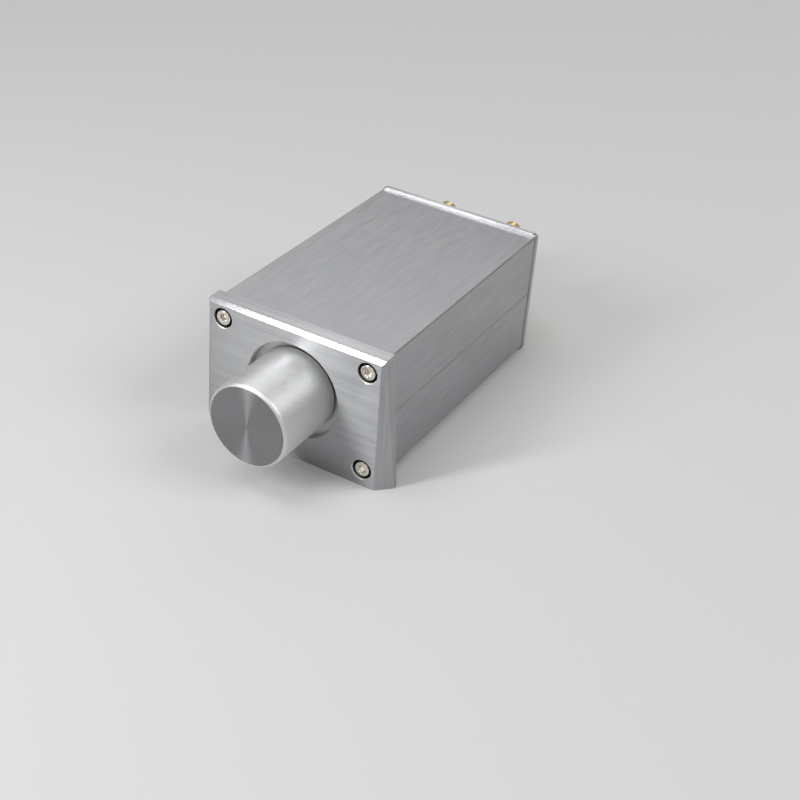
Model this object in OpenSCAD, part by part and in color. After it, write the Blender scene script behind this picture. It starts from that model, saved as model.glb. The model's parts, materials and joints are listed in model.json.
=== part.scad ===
// Passive volume controller: a split extruded case between a thick milled front panel
// and a thin rear panel, with one large knob in front and four phono sockets behind.
// A two-gang potentiometer behind the knob is wired to the sockets.
// Lengths are in millimetres. X runs to the right as seen from the front, Y to the rear
// and Z up. The origin lies on the table, in the middle of the box round the whole object.

/* [Case] */
// Width of the extruded case
case_width = 65.6; // [64:0.2:90]
// Height of the extruded case
case_height = 47.2; // [46:0.2:70]
// Length of the extruded case, from panel to panel
case_length = 102; // [90:1:180]
// Wall of the two case shells
case_wall = 2; // [1.6:0.1:2.6]
// Height of the case above the table
case_lift = 1.5; // [0.5:0.1:4]
// Radius of the case's long outer edges
case_edge = 0.8; // [0.3:0.1:1.5]
// How far the upper shell's tongues reach down behind the lower shell
tongue_reach = 2; // [1:0.1:4]
// Clearance round each tongue
tongue_fit = 0.1; // [0.05:0.01:0.3]
// Depth of the notch that shows as the seam line
seam_notch = 0.3; // [0.1:0.05:0.6]
// Distance of the screw centres from the case's sides, top and bottom
screw_inset = 4.8; // [4.4:0.1:6]
// Outer diameter of the screw channels
channel_diameter = 6.2; // [5:0.1:7]
// Width of the slit along each screw channel
channel_slit = 1.2; // [0.6:0.1:2]
// Height of the card guides above the case's underside
guide_height = 14; // [11:0.5:16]
// Width of the card guides' slot
guide_slot = 1.8; // [1:0.1:3]
// Thickness of each card guide rail
guide_rib = 1.2; // [0.8:0.1:2]
// How far the card guide rails stand in from the wall
guide_reach = 1.6; // [1:0.1:3]

/* [Front panel] */
// Thickness of the front panel
front_thickness = 6.4; // [5.6:0.1:10]
// How far the panel's flat face reaches past the case at each side
front_overhang = 0.2; // [0:0.1:3]
// How far the front panel stands above the case
front_rise = 1.1; // [0.5:0.1:4]
// How far each flared side stands out past the flat face at the table
flare_bottom = 5; // [2:0.1:5.5]
// How far each flared side stands out past the flat face at the top
flare_top = 0.9; // [0.2:0.1:2]
// Bevel along the top front edge
front_bevel = 1.3; // [0.5:0.1:2.5]
// Metal left at the bottom of the knob's recess
recess_floor = 2.8; // [2.4:0.1:3.4]
// Gap between the knob and the wall of its recess
recess_gap = 2.7; // [1:0.1:4]
// Chamfer round the mouth of the recess and of the counterbores
mouth_chamfer = 0.25; // [0.1:0.05:0.6]
// Diameter of the counterbores for the screw heads
counterbore_diameter = 7.2; // [6.4:0.1:8]
// How far the tops of the screw heads lie below the face
head_sink = 0.2; // [0:0.05:0.6]

/* [Knob] */
// Diameter of the knob
knob_diameter = 30; // [26:0.5:34]
// How far the knob stands out of the front panel's face
knob_reach = 25.2; // [22:0.2:30]
// Height of the knob's axis above the middle of the case
knob_rise = 1.1; // [0:0.1:3]
// Gap between the knob's back and the floor of the recess
knob_floor_gap = 1.2; // [0.6:0.1:2]
// Radius round the knob's front edge
knob_edge = 1.35; // [0.5:0.05:3]
// Diameter of the hollow in the knob's back
hollow_diameter = 19.5; // [17:0.5:22]
// Depth of the hollow in the knob's back
hollow_depth = 8; // [7.5:0.1:9]
// Gap between the shaft's tip and the end of the knob's bore
bore_spare = 0.6; // [0.3:0.1:2]
// Distance of the grub screw from the shaft's tip
grub_place = 8; // [6:0.1:9]
// Length of the grub screw
grub_length = 10; // [6:0.5:11]

/* [Screws] */
// Thread diameter of the case screws and of the grub screw
screw_thread = 2.9; // [2.5:0.05:3]
// Diameter of the threaded holes and channels that the screws turn in
thread_hole = 3; // [2.9:0.05:3.2]
// Diameter of the clearance holes in both panels
clearance_hole = 3.2; // [3.05:0.05:3.6]
// Length of the case screws under the head
screw_length = 10; // [8:1:20]
// Diameter of the cylindrical screw heads
head_diameter = 5.5; // [5:0.1:6]
// Height of the screw heads
head_height = 3; // [2.5:0.1:3.2]
// Radius round the top edge of the screw heads
head_edge = 0.5; // [0.2:0.05:0.8]
// Width across the flats of the hexagon sockets in the heads
head_hexagon = 2.5; // [2:0.1:3]
// Depth of the hexagon sockets in the heads
hexagon_depth = 1.5; // [1:0.1:1.8]
// Width across the flats of the grub screw's hexagon socket
grub_hexagon = 1.5; // [1.2:0.1:1.8]

/* [Potentiometer] */
// Diameter of the shaft
shaft_diameter = 6; // [5:0.1:6.4]
// Length of the shaft in front of the mounting plate
shaft_length = 25; // [23:0.5:26]
// Running clearance round the shaft
shaft_fit = 0.05; // [0.02:0.01:0.1]
// Depth of the flat on the shaft
flat_depth = 1.5; // [0.8:0.1:2]
// Length of the flat on the shaft
flat_length = 12; // [9:0.5:13]
// Outer diameter of the threaded bushing
bushing_diameter = 9; // [8:0.1:10]
// Length of the bushing in front of the mounting plate
bushing_length = 9; // [8:0.1:10]
// Clearance round the bushing in the front panel
bushing_fit = 0.15; // [0.05:0.05:0.4]
// Width across the flats of the nut on the bushing
nut_width = 12; // [11:0.1:13]
// Thickness of the nut on the bushing
nut_thickness = 2; // [1.5:0.1:2.4]
// Diameter of the washer under that nut
washer_diameter = 15; // [13:0.5:17]
// Thickness of the washer under that nut
washer_thickness = 0.5; // [0.3:0.1:1]
// Side of the square potentiometer housing
pot_size = 25; // [24:0.5:28]
// Thickness of the mounting plate
plate_thickness = 2; // [1.6:0.1:3]
// Depth of each of the two housing rings
gang_depth = 8; // [7:0.1:10]
// Thickness of each track board
board_thickness = 1; // [0.8:0.1:1.6]
// Thickness of the rear cover
cover_thickness = 1.5; // [1:0.1:3]
// Thinnest wall of the housing rings
pot_wall = 1.3; // [0.8:0.1:2]
// Whole turn of the shaft, in degrees
turn_range = 300; // [270:5:310]
// Whole width of the stop post in each ring, in degrees
stop_width = 34; // [20:1:36]
// Distance from one terminal to the next
terminal_pitch = 5; // [4:0.1:6]
// Width of the terminals
terminal_width = 2; // [1.4:0.1:2.4]
// How far the terminals stand out of the housing
terminal_rise = 4; // [3:0.1:4.2]

/* [Rear panel] */
// Thickness of the rear panel
rear_thickness = 2; // [1.5:0.1:4]
// How far the rear panel reaches past the case at each side
rear_overhang = 0.3; // [0:0.1:2]
// How far the rear panel stands above the case
rear_rise = 0.9; // [0:0.1:2]
// Corner radius of the rear panel
rear_corner = 2; // [0.5:0.1:4]

/* [Phono sockets] */
// Distance between the two columns of sockets
column_pitch = 28.4; // [26:0.2:32]
// Distance between the two rows of sockets
row_pitch = 23.6; // [20:0.2:26]
// How far the sockets stand out of the rear panel
socket_reach = 19; // [16:0.5:24]
// Diameter of the barrel that a plug grips
barrel_diameter = 8.3; // [8:0.05:8.5]
// Length of that barrel
barrel_length = 10; // [8:0.1:11]
// Diameter of the body behind the barrel
body_diameter = 11; // [9.5:0.1:12]
// Diameter of the flange
flange_diameter = 14; // [13:0.1:16]
// Thickness of the flange
flange_thickness = 2.5; // [1.5:0.1:3.5]
// Diameter of the socket's thread
thread_diameter = 8; // [7.6:0.1:8.2]
// Length of the thread past its nut
thread_spare = 1.5; // [0.5:0.1:3]
// Bore of the socket's shell
shell_bore = 6.5; // [6:0.1:6.8]
// Bore of the centre contact, which takes the plug's pin
contact_bore = 3.2; // [3:0.05:3.4]
// Depth of the centre contact's bore
contact_depth = 9; // [8:0.1:14]
// Wall of the centre contact
contact_wall = 0.5; // [0.3:0.05:0.7]
// Diameter of the contact's solder tail
tail_diameter = 2.4; // [2:0.1:3]
// Length of the contact's solder tail
tail_length = 4; // [3:0.1:6]
// How far the insulator lies below the barrel's end
insulator_sink = 0.5; // [0.2:0.1:1]
// Diameter of the collar of the insulating washers
collar_diameter = 10; // [9.4:0.1:10.6]
// Outer diameter of the insulating washers
disc_diameter = 13.2; // [12:0.1:14]
// Thickness of the insulating washers
disc_thickness = 1.2; // [0.8:0.1:1.6]
// Width across the flats of the socket nuts
socket_nut_width = 11; // [10.5:0.1:12]
// Thickness of the socket nuts
socket_nut_thickness = 2.5; // [2:0.1:3.5]
// Thickness of the ground tags
tag_thickness = 0.5; // [0.3:0.1:0.8]
// Distance of each ground tag's tip from its socket's axis
tag_reach = 10.5; // [10:0.1:11]
// Width of the ground tags' tails
tag_width = 3; // [2:0.1:4]

/* [Wiring] */
// Diameter of the insulated wires
wire_diameter = 2; // [1.4:0.1:2.2]
// Diameter of the bare bar that joins the ground tags
bus_diameter = 1.2; // [0.8:0.1:1.4]
// Diameter of the bare link between the two ground terminals
link_diameter = 1; // [0.6:0.1:1.2]

/* [Hidden] */
$fn = 96;

// Every cut runs this far past the solid that it cuts
overrun = 1;
// Clearance between small fixed pieces that are assembled by hand
small_fit = 0.05;

// Places along Y, from the front to the rear
overall_length = knob_reach + front_thickness + case_length + rear_thickness + socket_reach;
face_y = knob_reach - overall_length / 2;
front_back_y = face_y + front_thickness;
rear_y = front_back_y + case_length;
rear_face_y = rear_y + rear_thickness;
recess_depth = front_thickness - recess_floor;
recess_floor_y = face_y + recess_depth;
knob_front_y = face_y - knob_reach;
knob_back_y = recess_floor_y - knob_floor_gap;

// Case
seam_z = case_lift + case_height / 2;
case_top_z = case_lift + case_height;
inner_width = case_width - 2 * case_wall;
inner_height = case_height - 2 * case_wall;
screw_x = case_width / 2 - screw_inset;
screw_z = case_height / 2 - screw_inset;
tongue_thickness = case_wall / 2 - tongue_fit;

// Front panel
axis_z = seam_z + knob_rise;
face_half = case_width / 2 + front_overhang;
front_height = case_top_z + front_rise;
recess_radius = knob_diameter / 2 + recess_gap;
head_seat_y = face_y + head_sink + head_height;

// Knob
knob_radius = knob_diameter / 2;
knob_length = knob_back_y - knob_front_y;
grub_socket_depth = grub_length / 4;

// Potentiometer, along Y
bushing_tip_y = front_back_y - bushing_length;
shaft_tip_y = front_back_y - shaft_length;
grub_y = shaft_tip_y + grub_place;
left_gang_y = front_back_y + plate_thickness;
left_board_y = left_gang_y + gang_depth;
right_gang_y = left_board_y + board_thickness;
right_board_y = right_gang_y + gang_depth;
cover_y = right_board_y + board_thickness;
pot_back_y = cover_y + cover_thickness;
shaft_end_gap = 0.3;
shaft_tail = 0.6;
flat_offset = shaft_diameter / 2 - flat_depth;
// Clip on the shaft, in front of the bushing
clip_thickness = 0.7;
clip_width = 1.2;
clip_seat_depth = 0.5;
clip_diameter = shaft_diameter + 2 * clip_width;
clip_seat_diameter = shaft_diameter - 2 * clip_seat_depth;
clip_y = bushing_tip_y - shaft_end_gap - clip_thickness;
// Collar on the shaft, behind the plate
shaft_collar_width = 2;
shaft_collar_diameter = shaft_diameter + 2 * shaft_collar_width;
shaft_collar_thickness = 1;
shaft_collar_y = left_gang_y + shaft_end_gap;

// Potentiometer, across
pot_half = pot_size / 2;
pot_corner = 1;
cavity_radius = pot_half - pot_wall;
// Locating pin on the plate and its hole in the front panel
pin_diameter = 3;
pin_length = 1.2;
pin_hole_depth = 1.5;
pin_inset = 3.5;
pin_drop = pot_half - pin_inset;
// Rivets through the housing
rivet_diameter = 2;
rivet_head_diameter = 3.6;
rivet_head = 0.8;
rivet_inset = 1.9;
rivet_place = pot_half - rivet_inset;
// Wiper carriers, their stop lugs and the posts that stop them
carrier_thickness = 3;
carrier_offset = 2;
carrier_gap = 1.7;
stop_depth = 1.3;
lug_gap = 0.4;
carrier_radius = cavity_radius - carrier_gap;
stop_radius = cavity_radius - stop_depth;
lug_radius = cavity_radius - lug_gap;
stop_play = 0.5;
lug_width = 2 * (180 - turn_range / 2 - stop_play) - stop_width;
// Collector ring and carbon track on each board, between the shaft and the rim
collector_gap = 1.7;
collector_share = 1 / 3;
track_share = 5 / 12;
collector_inner = shaft_diameter / 2 + collector_gap;
ring_room = carrier_radius - collector_inner;
collector_outer = collector_inner + collector_share * ring_room;
track_outer = carrier_radius;
track_inner = track_outer - track_share * ring_room;
layer_thickness = 0.15;
board_hole_gap = 0.6;
board_hole_radius = shaft_diameter / 2 + board_hole_gap;
// Wiper springs
contact_plate = 0.3;
spring_width = 1.2;
spring_run = 5;
spring_foot = 1;
brush_gap = 0.15;
// Terminals
terminal_thickness = board_thickness - 4 * small_fit;
terminal_seat = 4;
pot_top_z = axis_z + pot_half;
terminal_top_z = pot_top_z + terminal_rise;
terminal_z = pot_top_z + terminal_rise / 2;

// Sockets, along Y from the rear panel's outer face
disc_stack = disc_thickness + tag_thickness + socket_nut_thickness;
thread_inside = rear_thickness + disc_stack + thread_spare;
barrel_start = socket_reach - barrel_length;
tip_chamfer = 0.3;
insulator_tail = 0.7;
tail_step = 0.5;
contact_tail = insulator_tail + tail_step;
contact_sink = 0.3;
tag_y = rear_y - disc_thickness - tag_thickness;
tail_end_y = rear_face_y - thread_inside - contact_tail - tail_length;

// Sockets, across
column_x = column_pitch / 2;
top_row_z = seam_z + row_pitch / 2;
bottom_row_z = seam_z - row_pitch / 2;
socket_places = [[column_x, top_row_z], [-column_x, top_row_z],
    [column_x, bottom_row_z], [-column_x, bottom_row_z]];
contact_radius = contact_bore / 2 + contact_wall;
collar_gap = 0.15;
bus_inset = 0.9;
bus_x = column_x - tag_reach + bus_inset;
bus_spare = 1;

// Wires: straight at both ends, and eight-sided
wire_sides = 8;
wire_lead = wire_diameter;
ring_pitch = 3 * wire_diameter;
left_terminal_y = left_board_y + (board_thickness + terminal_thickness) / 2;
right_terminal_y = right_board_y + (board_thickness + terminal_thickness) / 2;
// The left gang's wires cross above the right gang's terminals
wire_gap = 0.6;
crossing_lead = 1;
over_z = terminal_top_z + wire_gap + wire_diameter / 2;
over_y = right_board_y - crossing_lead;
wire_run = tail_end_y - pot_back_y;
ground_wire_x = -(column_x - socket_nut_width / 2 - wire_diameter / 2 - wire_gap / 2);
// Where along the run behind the potentiometer each wire starts and ends its crossing
input_left_shares = [0.15, 0.6];
input_right_shares = [0.45, 0.88];
output_left_shares = [0.1, 0.5];
output_right_shares = [0.08, 0.45];
ground_shares = [0.55, 0.9];

// Shapes that repeat

// A flat outline in X and Z, drawn out along Y
module bar(y, length) {
    translate([0, y + length, 0]) rotate([90, 0, 0]) linear_extrude(length) children();
}

// A round bar along Y
module rod(x, z, y, length, radius) {
    translate([x, y + length, z]) rotate([90, 0, 0]) cylinder(h = length, r = radius);
}

// A cone along Y that opens to the front at 45 degrees, for the chamfer round a hole
module mouth(x, z, y, radius, chamfer) {
    translate([x, y + chamfer, z])
        rotate([90, 0, 0])
            cylinder(h = chamfer + overrun, r1 = radius, r2 = radius + chamfer + overrun);
}

module rounded_rectangle(width, height, radius) {
    square([width - 2 * radius, height], center = true);
    square([width, height - 2 * radius], center = true);
    for (side = [-1, 1], level = [-1, 1])
        translate([side * (width / 2 - radius), level * (height / 2 - radius)])
            circle(r = radius);
}

module ring(outer, inner) {
    difference() {
        circle(r = outer);
        circle(r = inner);
    }
}

// A wedge from the centre outwards, pointing up
module wedge(width, reach) {
    polygon([[0, 0],
        [-reach * sin(width / 2), reach * cos(width / 2)],
        [reach * sin(width / 2), reach * cos(width / 2)]]);
}

module at_case_screws() {
    for (side = [-1, 1], level = [-1, 1])
        translate([side * screw_x, level * screw_z]) children();
}

// Case

// Section of the whole case, round the middle of the seam
module case_section() {
    difference() {
        rounded_rectangle(case_width, case_height, case_edge);
        difference() {
            square([inner_width, inner_height], center = true);
            at_case_screws() circle(d = channel_diameter);
            for (side = [-1, 1], level = [-1, 1])
                translate([side * (screw_x + screw_inset / 2), level * (screw_z + screw_inset / 2)])
                    square(screw_inset, center = true);
        }
        at_case_screws() circle(d = thread_hole);
        for (side = [-1, 1], level = [-1, 1])
            translate([side * screw_x, level * (screw_z - channel_diameter / 2)])
                square([channel_slit, channel_diameter], center = true);
        for (side = [-1, 1])
            translate([side * case_width / 2, 0])
                rotate(45) square(seam_notch * sqrt(2), center = true);
    }
}

module upper_shell() {
    color("silver")
        bar(front_back_y, case_length) translate([0, seam_z]) {
            intersection() {
                case_section();
                translate([-case_width, 0]) square([2 * case_width, case_height]);
            }
            for (side = [-1, 1])
                translate([side * (inner_width + tongue_thickness) / 2, 0])
                    square([tongue_thickness, 2 * tongue_reach], center = true);
        }
}

module lower_shell() {
    color("silver")
        bar(front_back_y, case_length) translate([0, seam_z]) {
            difference() {
                case_section();
                translate([-case_width, 0]) square([2 * case_width, case_height]);
                for (side = [-1, 1])
                    translate([side * inner_width / 2, 0])
                        square([case_wall, 2 * (tongue_reach + tongue_fit)], center = true);
            }
            for (side = [-1, 1], rail = [-1, 1])
                translate([side * (inner_width - guide_reach) / 2,
                    guide_height - case_height / 2 + rail * (guide_slot + guide_rib) / 2])
                    square([guide_reach + case_wall, guide_rib], center = true);
        }
}

module rear_panel() {
    width = case_width + 2 * rear_overhang;
    height = case_top_z + rear_rise;
    color("silver")
        bar(rear_y, rear_thickness) difference() {
            translate([0, height / 2]) rounded_rectangle(width, height, rear_corner);
            translate([0, seam_z]) at_case_screws() circle(d = clearance_hole);
            for (place = socket_places)
                translate(place) circle(d = collar_diameter + 2 * collar_gap);
        }
}

// Front panel

// Outline of the flared block, with its sloping sides and chamfered front corners
module front_block() {
    edge = face_half - overrun;
    depth = front_thickness + 2 * overrun;
    intersection() {
        bar(face_y, front_thickness) polygon([
            [-face_half - flare_bottom, 0],
            [face_half + flare_bottom, 0],
            [face_half + flare_top, front_height],
            [-face_half - flare_top, front_height]]);
        translate([0, face_y - overrun, -overrun])
            linear_extrude(front_height + 2 * overrun) polygon([
                [-edge, 0],
                [edge, 0],
                [edge + depth, depth],
                [-edge - depth, depth]]);
    }
}

// The cut that leaves the bevel along the top front edge
module top_bevel() {
    reach = front_bevel + overrun;
    span = 2 * (face_half + flare_bottom + overrun);
    translate([-span / 2, face_y, front_height])
        rotate([90, 0, 90]) linear_extrude(span) polygon([
            [-overrun, -reach],
            [reach, overrun],
            [-overrun, overrun]]);
}

module front_panel() {
    counterbore = head_seat_y - face_y;
    color("silver") difference() {
        front_block();
        top_bevel();
        rod(0, axis_z, face_y - overrun, recess_depth + overrun, recess_radius);
        mouth(0, axis_z, face_y, recess_radius, mouth_chamfer);
        rod(0, axis_z, face_y, front_thickness + overrun, bushing_diameter / 2 + bushing_fit);
        rod(0, axis_z - pin_drop, front_back_y - pin_hole_depth, pin_hole_depth + overrun,
            pin_diameter / 2 + small_fit);
        for (side = [-1, 1], level = [-1, 1]) {
            x = side * screw_x;
            z = seam_z + level * screw_z;
            rod(x, z, face_y - overrun, counterbore + overrun, counterbore_diameter / 2);
            mouth(x, z, face_y, counterbore_diameter / 2, mouth_chamfer);
            rod(x, z, face_y, front_thickness + overrun, clearance_hole / 2);
        }
    }
}

// Screws

// Hexagon socket, open to the front
module hexagon(width, depth) {
    translate([0, depth, 0])
        rotate([90, 0, 0]) cylinder(h = depth + overrun, r = width / sqrt(3), $fn = 6);
}

// Socket head screw with its seat at Y = 0 and its head in front
module case_screw() {
    difference() {
        union() {
            rotate([90, 0, 0]) rotate_extrude() difference() {
                square([head_diameter / 2, head_height]);
                translate([head_diameter / 2 - head_edge, head_height - head_edge]) difference() {
                    square(head_edge + overrun);
                    circle(r = head_edge);
                }
            }
            rod(0, 0, 0, screw_length, screw_thread / 2);
        }
        translate([0, -head_height, 0]) hexagon(head_hexagon, hexagon_depth);
    }
}

module front_panel_screws() {
    color("gray")
        for (side = [-1, 1], level = [-1, 1])
            translate([side * screw_x, head_seat_y, seam_z + level * screw_z]) case_screw();
}

module rear_panel_screws() {
    color("gray")
        for (side = [-1, 1], level = [-1, 1])
            translate([side * screw_x, rear_face_y, seam_z + level * screw_z])
                mirror([0, 1, 0]) case_screw();
}

// Knob

module knob() {
    bore_depth = knob_back_y - shaft_tip_y + bore_spare;
    color("gainsboro") difference() {
        translate([0, knob_back_y, axis_z]) rotate([90, 0, 0]) rotate_extrude() difference() {
            square([knob_radius, knob_length]);
            translate([knob_radius - knob_edge, knob_length - knob_edge]) difference() {
                square(knob_edge + overrun);
                circle(r = knob_edge);
            }
            translate([0, -overrun]) square([hollow_diameter / 2, hollow_depth + overrun]);
        }
        rod(0, axis_z, knob_back_y - bore_depth, bore_depth, shaft_diameter / 2 + small_fit);
        translate([0, grub_y, axis_z - knob_radius - overrun])
            cylinder(h = knob_radius + overrun, r = thread_hole / 2);
    }
}

module knob_grub_screw() {
    color("dimgray")
        translate([0, grub_y, axis_z - flat_offset - grub_length]) difference() {
            cylinder(h = grub_length, r = screw_thread / 2);
            translate([0, 0, -overrun])
                cylinder(h = grub_socket_depth + overrun, r = grub_hexagon / sqrt(3), $fn = 6);
        }
}

// Potentiometer

module pot_shaft() {
    width = shaft_diameter + 2 * overrun;
    color("gainsboro") difference() {
        union() {
            rod(0, axis_z, shaft_tip_y, pot_back_y + shaft_tail - shaft_tip_y, shaft_diameter / 2);
            rod(0, axis_z, shaft_collar_y, shaft_collar_thickness, shaft_collar_diameter / 2);
        }
        translate([-width / 2, shaft_tip_y - overrun, axis_z - flat_offset - shaft_diameter])
            cube([width, flat_length + overrun, shaft_diameter]);
        bar(clip_y - small_fit, clip_thickness + 2 * small_fit)
            translate([0, axis_z]) ring(shaft_diameter, clip_seat_diameter / 2);
    }
}

module shaft_clip() {
    color("gray")
        bar(clip_y, clip_thickness) translate([0, axis_z]) difference() {
            ring(clip_diameter / 2, clip_seat_diameter / 2 + small_fit);
            mirror([0, 1]) wedge(90, clip_diameter);
        }
}

// Places of the two rivets, round the potentiometer's axis
module at_rivets() {
    for (corner = [-1, 1]) translate([corner * rivet_place, corner * rivet_place]) children();
}

module pot_outline() {
    difference() {
        rounded_rectangle(pot_size, pot_size, pot_corner);
        at_rivets() circle(d = rivet_diameter + 2 * small_fit);
    }
}

module pot_bushing() {
    color("silver") difference() {
        union() {
            bar(front_back_y, plate_thickness) translate([0, axis_z]) pot_outline();
            rod(0, axis_z, bushing_tip_y, bushing_length + overrun, bushing_diameter / 2);
            rod(0, axis_z - pin_drop, front_back_y - pin_length, pin_length + overrun,
                pin_diameter / 2);
        }
        rod(0, axis_z, bushing_tip_y - overrun, bushing_length + plate_thickness + 2 * overrun,
            shaft_diameter / 2 + shaft_fit);
        translate([0, 0, axis_z])
            bar(front_back_y - overrun, rivet_head + small_fit + overrun)
                at_rivets() circle(d = rivet_head_diameter + 2 * small_fit);
    }
}

module pot_washer() {
    color("gray")
        bar(recess_floor_y - washer_thickness, washer_thickness) translate([0, axis_z])
            ring(washer_diameter / 2, bushing_diameter / 2 + small_fit);
}

module pot_nut() {
    color("gray")
        bar(recess_floor_y - washer_thickness - nut_thickness, nut_thickness)
            translate([0, axis_z]) difference() {
                circle(r = nut_width / sqrt(3), $fn = 6);
                circle(r = bushing_diameter / 2 + small_fit);
            }
}

// Housing ring of one gang, with the post that stops the wiper
module pot_case(y) {
    color("dimgray")
        bar(y, gang_depth) translate([0, axis_z]) difference() {
            pot_outline();
            difference() {
                circle(r = cavity_radius);
                intersection() {
                    ring(pot_half, stop_radius);
                    mirror([0, 1]) wedge(stop_width, pot_size);
                }
            }
        }
}

module pot_case_left() {
    pot_case(left_gang_y);
}

module pot_case_right() {
    pot_case(right_gang_y);
}

// Board with slots for the terminals, the carbon track and the collector ring
module track(y) {
    color("peru") {
        bar(y, board_thickness) translate([0, axis_z]) difference() {
            pot_outline();
            circle(r = board_hole_radius);
            for (terminal = [-1, 0, 1])
                translate([terminal * terminal_pitch, pot_half])
                    square([terminal_width + 2 * small_fit, 2 * terminal_seat], center = true);
        }
        bar(y - layer_thickness, layer_thickness + board_thickness / 2)
            translate([0, axis_z]) difference() {
                union() {
                    ring(track_outer, track_inner);
                    ring(collector_outer, collector_inner);
                }
                mirror([0, 1]) wedge(stop_width, pot_size);
                for (terminal = [-1, 0, 1])
                    translate([terminal * terminal_pitch, pot_half])
                        square([terminal_width + 2 * small_fit, 2 * terminal_seat], center = true);
            }
    }
}

module track_left() {
    track(left_board_y);
}

module track_right() {
    track(right_board_y);
}

module terminals(y) {
    height = terminal_rise + terminal_seat - small_fit;
    color("gold")
        for (terminal = [-1, 0, 1])
            translate([terminal * terminal_pitch - terminal_width / 2,
                y + (board_thickness - terminal_thickness) / 2,
                terminal_top_z - height])
                cube([terminal_width, terminal_thickness, height]);
}

module terminals_left() {
    terminals(left_board_y);
}

module terminals_right() {
    terminals(right_board_y);
}

module pot_cover() {
    color("silver")
        bar(cover_y, cover_thickness) translate([0, axis_z]) difference() {
            pot_outline();
            circle(r = shaft_diameter / 2 + shaft_fit);
        }
}

module pot_rivets() {
    front = front_back_y + small_fit;
    color("gray") translate([0, 0, axis_z]) {
        bar(front, pot_back_y + rivet_head - front) at_rivets() circle(d = rivet_diameter);
        bar(front, rivet_head - small_fit) at_rivets() circle(d = rivet_head_diameter);
        bar(pot_back_y, rivet_head) at_rivets() circle(d = rivet_head_diameter);
    }
}

// Disc on the shaft with the lug that meets the stop post
module wiper_carrier(y) {
    color("ivory")
        bar(y + carrier_offset, carrier_thickness) translate([0, axis_z]) difference() {
            union() {
                circle(r = carrier_radius);
                intersection() {
                    circle(r = lug_radius);
                    wedge(lug_width, pot_size);
                }
            }
            circle(r = shaft_diameter / 2 + small_fit);
        }
}

module wiper_carrier_left() {
    wiper_carrier(left_gang_y);
}

module wiper_carrier_right() {
    wiper_carrier(right_gang_y);
}

// Spring plate on the carrier, with one leaf for the track and one for the collector
module wiper_contact(y) {
    plate_y = y + carrier_offset + carrier_thickness;
    reach = gang_depth - carrier_offset - carrier_thickness - layer_thickness - brush_gap;
    color("gold") {
        bar(plate_y, contact_plate) translate([0, axis_z]) intersection() {
            ring(track_outer, collector_inner);
            wedge(lug_width * 3, pot_size);
        }
        for (radius = [(track_outer + track_inner) / 2, (collector_outer + collector_inner) / 2])
            translate([-spring_run / 2, plate_y, axis_z + radius - spring_width / 2])
                linear_extrude(spring_width) polygon([
                    [0, 0],
                    [0, contact_plate],
                    [spring_run - spring_foot, reach],
                    [spring_run, reach],
                    [spring_run, reach - contact_plate],
                    [spring_run - spring_foot, reach - contact_plate],
                    [spring_foot, 0]]);
    }
}

module wiper_contact_left() {
    wiper_contact(left_gang_y);
}

module wiper_contact_right() {
    wiper_contact(right_gang_y);
}

// Phono sockets

// Turns an outline of radius and distance from the rear panel's outer face
module turned(place) {
    translate([place[0], rear_face_y, place[1]]) rotate([-90, 0, 0]) rotate_extrude() children();
}

module socket(place) {
    thread = thread_diameter / 2;
    flange = flange_diameter / 2;
    body = body_diameter / 2;
    barrel = barrel_diameter / 2;
    flange_end = disc_thickness + flange_thickness;
    color("gold") turned(place) polygon([
        [shell_bore / 2, -thread_inside],
        [thread, -thread_inside],
        [thread, disc_thickness],
        [flange, disc_thickness],
        [flange, flange_end],
        [body, flange_end],
        [body, barrel_start],
        [barrel, barrel_start],
        [barrel, socket_reach - tip_chamfer],
        [barrel - tip_chamfer, socket_reach],
        [shell_bore / 2, socket_reach]]);
}

module insulator(place) {
    length = thread_inside + insulator_tail + socket_reach - insulator_sink;
    color("white") turned(place)
        translate([contact_radius + small_fit, -thread_inside - insulator_tail])
            square([shell_bore / 2 - contact_radius - 2 * small_fit, length]);
}

module contact(place) {
    start = -thread_inside - contact_tail;
    end = socket_reach - contact_sink;
    bore = contact_bore / 2;
    color("gold") turned(place) polygon([
        [0, start - tail_length],
        [tail_diameter / 2, start - tail_length],
        [tail_diameter / 2, start],
        [contact_radius, start],
        [contact_radius, end],
        [bore, end],
        [bore, end - contact_depth],
        [0, end - contact_depth - bore]]);
}

module input_left_socket() {
    socket(socket_places[0]);
}

module input_right_socket() {
    socket(socket_places[1]);
}

module output_left_socket() {
    socket(socket_places[2]);
}

module output_right_socket() {
    socket(socket_places[3]);
}

module input_left_insulator() {
    insulator(socket_places[0]);
}

module input_right_insulator() {
    insulator(socket_places[1]);
}

module output_left_insulator() {
    insulator(socket_places[2]);
}

module output_right_insulator() {
    insulator(socket_places[3]);
}

module input_left_contact() {
    contact(socket_places[0]);
}

module input_right_contact() {
    contact(socket_places[1]);
}

module output_left_contact() {
    contact(socket_places[2]);
}

module output_right_contact() {
    contact(socket_places[3]);
}

// Insulating washer outside the panel, with a collar that fills the panel's hole
module collar_washer(place) {
    bore = thread_diameter / 2 + small_fit;
    translate([place[0], 0, place[1]]) {
        bar(rear_face_y, disc_thickness) ring(disc_diameter / 2, bore);
        bar(rear_y + small_fit, rear_thickness + disc_thickness / 2)
            ring(collar_diameter / 2, bore);
    }
}

module collar_washers_left() {
    color("white") {
        collar_washer(socket_places[0]);
        collar_washer(socket_places[2]);
    }
}

module collar_washers_right() {
    color("red") {
        collar_washer(socket_places[1]);
        collar_washer(socket_places[3]);
    }
}

module inner_washers() {
    color("white")
        for (place = socket_places)
            bar(rear_y - disc_thickness, disc_thickness) translate(place)
                ring(disc_diameter / 2, thread_diameter / 2 + small_fit);
}

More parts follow.
